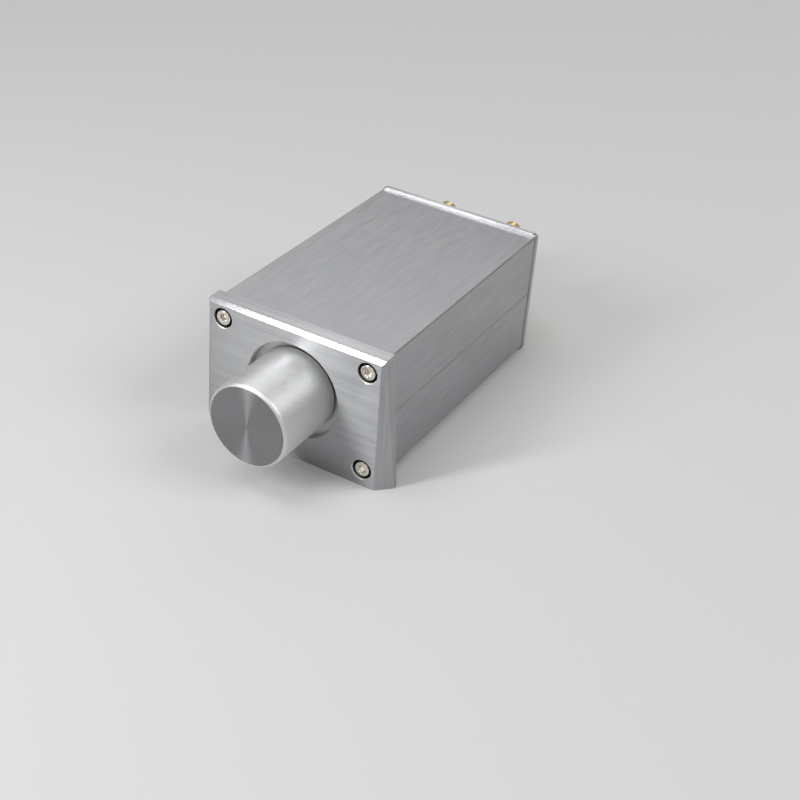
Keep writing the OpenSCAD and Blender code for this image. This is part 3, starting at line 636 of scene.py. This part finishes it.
def cut(piece, cutter):
    """Cuts one piece out of another, and throws the cutter away."""
    modifier = piece.modifiers.new("cut", "BOOLEAN")
    modifier.operation = "DIFFERENCE"
    modifier.solver = "EXACT"
    modifier.object = cutter
    alone(piece)
    bpy.ops.object.modifier_apply(modifier=modifier.name)
    bpy.data.objects.remove(cutter)


def turned(name, outline, z=0, steps=ROUND_SIDES):
    """Turns an outline of (radius, Y) points round an axis along Y."""
    deselect()
    bpy.ops.mesh.primitive_plane_add(size=2, location=(0, 0, z))
    piece = settle(bpy.context.object, name)
    edit(piece)
    bpy.ops.mesh.merge(type="CENTER")
    radius, y = outline[0]
    bpy.ops.transform.translate(value=(radius, y, 0))
    for next_radius, next_y in outline[1:]:
        bpy.ops.mesh.extrude_vertices_move(
            TRANSFORM_OT_translate={"value": (next_radius - radius, next_y - y, 0)})
        radius, y = next_radius, next_y
    bpy.ops.mesh.select_all(action="SELECT")
    bpy.ops.mesh.spin(steps=steps, angle=math.tau, center=(0, 0, z), axis=(0, 1, 0))
    bpy.ops.mesh.select_all(action="SELECT")
    bpy.ops.mesh.remove_doubles(threshold=MERGE_REACH)
    bpy.ops.mesh.normals_make_consistent(inside=False)
    done()
    return piece


def ease_edges(piece, width, segments=3, angle=25):
    """Rounds every edge that is sharper than the angle, in degrees."""
    modifier = piece.modifiers.new("edges", "BEVEL")
    modifier.width = width
    modifier.segments = segments
    modifier.limit_method = "ANGLE"
    modifier.angle_limit = math.radians(angle)
    alone(piece)
    bpy.ops.object.modifier_apply(modifier=modifier.name)


def copy_of(piece, name, place, turn=0):
    """A copy with its own mesh, turned about Z and then moved to its place."""
    twin = piece.copy()
    twin.data = piece.data.copy()
    bpy.context.collection.objects.link(twin)
    twin.rotation_euler = (0, 0, turn)
    twin.location = place
    return settle(twin, name)


def join(pieces, name):
    alone(pieces[0])
    for piece in pieces:
        piece.select_set(True)
    bpy.ops.object.join()
    return settle(bpy.context.object, name)


def fit(piece, body, nodes, slot):
    """Brings a finished piece to metres, shades it, and puts it in place of its CAD nodes."""
    alone(piece)
    piece.scale = (MM, MM, MM)
    bpy.ops.object.transform_apply(location=True, rotation=True, scale=True)
    bpy.ops.object.shade_smooth_by_angle(angle=math.radians(SMOOTH_ANGLE))
    modifier = piece.modifiers.new("normals", "WEIGHTED_NORMAL")
    modifier.keep_sharp = True
    bpy.ops.object.modifier_apply(modifier=modifier.name)
    piece.data.materials.clear()
    piece.data.materials.append(MATERIALS[slot])
    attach(piece, body)
    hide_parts(*nodes)


# Pieces

def front_panel():
    """The milled block: flared sides, cut corners, a recess for the knob and counterbores."""
    half = PANEL_FOOT_HALF + PANEL_SPARE
    panel = block("milled_front_panel", (-half, FACE_Y, 0), (half, PANEL_BACK_Y, PANEL_TOP))
    lean = (PANEL_FOOT_HALF - PANEL_TOP_HALF) / PANEL_TOP
    for side in (-1, 1):
        slice_off(panel, (side * PANEL_FOOT_HALF, 0, 0), (side, 0, lean))
        slice_off(panel, (side * FACE_HALF, FACE_Y, 0), (side, -1, 0))
    slice_off(panel, (0, FACE_Y, PANEL_TOP - TOP_BEVEL), (0, -1, 1))

    front, back = FACE_Y - PANEL_SPARE, PANEL_BACK_Y + PANEL_SPARE
    cut(panel, round_bar("recess", RECESS_RADIUS, front, FACE_Y + RECESS_DEPTH, z=AXIS_Z,
                         sides=RECESS_SIDES))
    cut(panel, round_bar("bushing_hole", BUSHING_HOLE_RADIUS, front, back, z=AXIS_Z))
    for x, z in SCREW_PLACES:
        cut(panel, round_bar("counterbore", COUNTERBORE_RADIUS, front, HEAD_SEAT_Y, x, z,
                             BORE_SIDES))
        cut(panel, round_bar("screw_hole", SCREW_HOLE_RADIUS, FACE_Y, back, x, z, HOLE_SIDES))
    holes = [(0, AXIS_Z, RECESS_RADIUS)]
    holes += [(x, z, COUNTERBORE_RADIUS) for x, z in SCREW_PLACES]
    bevel_edges(panel, on_rims(FACE_Y, holes), HOLE_CHAMFER, segments=1)
    ease_edges(panel, PANEL_EASE)
    fit(panel, "housing", ["front_panel"], "panel")
    finish_panel(panel, holes)


def finish_panel(panel, holes):
    """Gives the holes the finish of the recess, with its gap by the knob painted dark as shade,
    and the two sides their upright brushing.
    """
    recess, sides = 1, 2
    flat, sideways = 0.95, 0.4
    panel.data.materials.append(MATERIALS["recess"])
    panel.data.materials.append(MATERIALS["panel_sides"])
    for face in panel.data.polygons:
        x, y, z = face.center / MM
        by_hole = any(math.hypot(x - hole_x, z - hole_z) < radius + HOLE_FINISH_REACH
                      for hole_x, hole_z, radius in holes)
        sunk = FACE_Y + HOLE_FINISH_DEPTH < y < PANEL_BACK_Y - NEAR
        if by_hole and (sunk or abs(face.normal.y) < flat):
            face.material_index = recess
        elif abs(x) > FACE_HALF and abs(face.normal.x) > sideways:
            face.material_index = sides


def knob():
    """The solid turned knob, hollow at the back, with a bore for the shaft and its screw."""
    hollow_y = KNOB_BACK_Y - KNOB_HOLLOW_DEPTH
    bore_y = KNOB_FRONT_Y + KNOB_FRONT_WALL
    blank = turned("turned_knob", (
        (0, KNOB_FRONT_Y), (KNOB_RADIUS, KNOB_FRONT_Y), (KNOB_RADIUS, KNOB_BACK_Y),
        (KNOB_HOLLOW_RADIUS, KNOB_BACK_Y), (KNOB_HOLLOW_RADIUS, hollow_y),
        (KNOB_BORE_RADIUS, hollow_y), (KNOB_BORE_RADIUS, bore_y), (0, bore_y)),
        AXIS_Z, KNOB_SIDES)
    front_rim = on_rims(KNOB_FRONT_Y, [(0, AXIS_Z, KNOB_RADIUS)])
    bevel_edges(blank, front_rim, KNOB_RIM, CORNER_STEPS)
    cut(blank, upright_bar("grub_hole", GRUB_HOLE_RADIUS, AXIS_Z - KNOB_RADIUS - OVERRUN, AXIS_Z,
                           GRUB_Y, HOLE_SIDES))
    ease_edges(blank, KNOB_EASE, angle=40)
    fit(blank, "volume_knob", ["knob"], "knob")
    # The front face takes the darker colour, as painted shade, and its spun lines
    spun_shaded_face = 1
    blank.data.materials.append(MATERIALS["knob_face"])
    for face in blank.data.polygons:
        if face.center.y < (KNOB_FRONT_Y + NEAR) * MM:
            face.material_index = spun_shaded_face


def case_screw():
    """One socket head screw, with its seat at the origin and its head in front of it."""
    front = -HEAD_HEIGHT
    turns = [math.pi / 2 * step / HEAD_EDGE_STEPS for step in range(HEAD_EDGE_STEPS + 1)]
    rounding = [(HEAD_RADIUS - HEAD_EDGE * (1 - math.sin(turn)),
                 front + HEAD_EDGE * (1 - math.cos(turn))) for turn in turns]
    screw = turned("screw", [
        (0, front), *rounding, (HEAD_RADIUS, -SEAT_EDGE), (HEAD_RADIUS - SEAT_EDGE, 0),
        (ROD_RADIUS, 0), (ROD_RADIUS, ROD_LENGTH - ROD_TIP), (ROD_RADIUS - ROD_TIP, ROD_LENGTH),
        (0, ROD_LENGTH)], steps=SCREW_SIDES)
    cut(screw, round_bar("hexagon", HEXAGON_RADIUS, front - OVERRUN, front + HEXAGON_DEPTH,
                         sides=6))
    cut(screw, turned("countersink", [
        (0, front - OVERRUN), (COUNTERSINK_RADIUS + OVERRUN, front - OVERRUN),
        (COUNTERSINK_RADIUS - COUNTERSINK_DEPTH, front + COUNTERSINK_DEPTH),
        (0, front + COUNTERSINK_DEPTH)], steps=SCREW_SIDES))
    ease_edges(screw, SCREW_EASE, segments=2, angle=35)
    return screw


def screws():
    """Four screws in the front panel, and four in the rear panel that face backwards."""
    model = case_screw()
    for side, seat_y, turn in (("front", HEAD_SEAT_Y, 0), ("rear", REAR_FACE_Y, math.pi)):
        four = [copy_of(model, "screw", (x, seat_y, z), turn) for x, z in SCREW_PLACES]
        fit(join(four, side + "_socket_head_screws"), "housing", [side + "_panel_screws"],
            "screw_nickel")
    bpy.data.objects.remove(model)


def rear_panel():
    """The flat plate with rounded corners, and holes for its screws and sockets."""
    plate = block("rear_plate", (-REAR_HALF, REAR_Y, 0), (REAR_HALF, REAR_FACE_Y, REAR_TOP))
    bevel_edges(plate, along_y, REAR_CORNER, CORNER_STEPS)
    inside, outside = REAR_Y - OVERRUN, REAR_FACE_Y + OVERRUN
    for x, z in SCREW_PLACES:
        cut(plate, round_bar("screw_hole", SCREW_HOLE_RADIUS, inside, outside, x, z, HOLE_SIDES))
    for x in (-SOCKET_X, SOCKET_X):
        for z in SOCKET_ZS.values():
            cut(plate, round_bar("socket_hole", SOCKET_HOLE_RADIUS, inside, outside, x, z,
                                 BORE_SIDES))
    ease_edges(plate, REAR_EASE)
    fit(plate, "housing", ["rear_panel"], "rear_panel")


def socket_shell():
    """The gold shell of a phono socket, with the rear panel's face at the origin."""
    shell = turned("shell", (
        (SHELL_BORE, SHELL_BACK), (NECK_RADIUS, SHELL_BACK), (NECK_RADIUS, FLANGE_BACK),
        (FLANGE_RADIUS, FLANGE_BACK), (FLANGE_RADIUS, FLANGE_FRONT),
        (COLLAR_RADIUS, FLANGE_FRONT), (COLLAR_RADIUS, COLLAR_FRONT),
        (BARREL_RADIUS, COLLAR_FRONT), (BARREL_RADIUS, BARREL_FRONT - BARREL_EDGE),
        (BARREL_RADIUS - BARREL_EDGE, BARREL_FRONT), (SHELL_BORE, BARREL_FRONT),
        (SHELL_BORE, SHELL_BACK)))
    ease_edges(shell, SHELL_EASE, angle=30)
    return shell


def insulating_tube():
    """The white tube in a phono socket, with the rear panel's face at the origin."""
    tube = turned("tube", (
        (TUBE_BORE, TUBE_BACK), (TUBE_RADIUS, TUBE_BACK), (TUBE_RADIUS, TUBE_FRONT),
        (TUBE_BORE, TUBE_FRONT), (TUBE_BORE, TUBE_BACK)))
    ease_edges(tube, TUBE_EASE, angle=30)
    return tube


def phono_sockets():
    """A shell and a tube for each socket. Its contact is the CAD node."""
    shell = socket_shell()
    tube = insulating_tube()
    for row, z in SOCKET_ZS.items():
        for side, x in (("left", SOCKET_X), ("right", -SOCKET_X)):
            name, place = f"{row}_{side}", (x, REAR_FACE_Y, z)
            fit(copy_of(shell, name + "_shell", place), "housing", [name + "_socket"],
                "gold_plate")
            fit(copy_of(tube, name + "_insulating_tube", place), "housing",
                [name + "_insulator"], "insulator_white")
    for model in (shell, tube):
        bpy.data.objects.remove(model)


def dress_nodes():
    """Gives the CAD nodes the finish of their slots."""
    for part in frame["record"]["subparts"]:
        node = frame["nodes"][part["node"]]
        node.data.materials.clear()
        node.data.materials.append(MATERIALS[part["material_slot"]])


# Studio: a pale floor, a pale room and soft lamps, in metres

FLOOR_SIZE = 6
FLOOR_COLOUR = (0.58, 0.58, 0.58, 1)
ROOM_COLOUR = (0.97, 0.97, 0.97, 1)
ROOM_LIGHT = 0.25
ROOM_SEEN = 0.38
AIM_HEIGHT = 0.03


def floor():
    deselect()
    bpy.ops.mesh.primitive_plane_add(size=FLOOR_SIZE)
    plane = bpy.context.object
    plane.name = "studio_floor"
    material, tree, shader = blank_material("studio_floor")
    shader.inputs["Base Color"].default_value = FLOOR_COLOUR
    shader.inputs["Roughness"].default_value = 0.9
    shader.inputs["Specular IOR Level"].default_value = 0.05
    plane.data.materials.append(material)


def surround():
    """A pale room, which the camera and reflections see brighter than it lights the scene."""
    world = bpy.data.worlds.new("studio")
    bpy.context.scene.world = world
    world.use_nodes = True
    tree = world.node_tree
    room = tree.nodes["Background"]
    room.inputs["Color"].default_value = ROOM_COLOUR
    rays = add(tree, "LightPath")
    seen = calc(tree, "MAXIMUM", rays.outputs["Is Camera Ray"], rays.outputs["Is Glossy Ray"])
    seen = calc(tree, "MAXIMUM", seen, rays.outputs["Is Transmission Ray"])
    extra = calc(tree, "MULTIPLY", seen, ROOM_SEEN - ROOM_LIGHT)
    tree.links.new(calc(tree, "ADD", extra, ROOM_LIGHT), room.inputs["Strength"])


def hang_lamp(name, kind, strength, turn, rise, reach):
    """A lamp that aims at the object. Turn counts from the front towards +X, in degrees."""
    turn, rise = math.radians(turn), math.radians(rise)
    way = Vector((math.sin(turn) * math.cos(rise), -math.cos(turn) * math.cos(rise),
                  math.sin(rise)))
    data = bpy.data.lights.new(name, kind)
    data.energy = strength
    lamp = bpy.data.objects.new(name, data)
    bpy.context.collection.objects.link(lamp)
    place = Vector((0, 0, AIM_HEIGHT)) + reach * way
    facing = (-way).to_track_quat("-Z", "Y").to_matrix().to_4x4()
    lamp.matrix_world = Matrix.Translation(place) @ facing
    return data


def softbox(name, size, power, turn, rise, reach):
    """A soft lamp, with its width and height, and its power in watts."""
    data = hang_lamp(name, "AREA", power, turn, rise, reach)
    data.shape = "RECTANGLE"
    data.size, data.size_y = size


def sun(name, strength, width, turn, rise):
    """One even light for the whole floor, as soft as its width in degrees."""
    data = hang_lamp(name, "SUN", strength, turn, rise, reach=1)
    data.angle = math.radians(width)


# The scene

place_camera()
front_panel()
knob()
screws()
rear_panel()
phono_sockets()
dress_nodes()
floor()
surround()
softbox("key_softbox", (0.1, 0.3), power=2.3, turn=331, rise=33, reach=0.7)
softbox("front_softbox", (0.8, 0.8), power=2.2, turn=34, rise=40, reach=1.5)
softbox("rear_softbox", (1.1, 0.75), power=2.2, turn=206, rise=42, reach=1.5)
softbox("knob_softbox", (0.7, 0.7), power=8.0, turn=100, rise=45, reach=1.5)
sun("overhead_light", strength=1.0, width=36, turn=300, rise=72)
bpy.context.scene.view_settings.view_transform = "Standard"
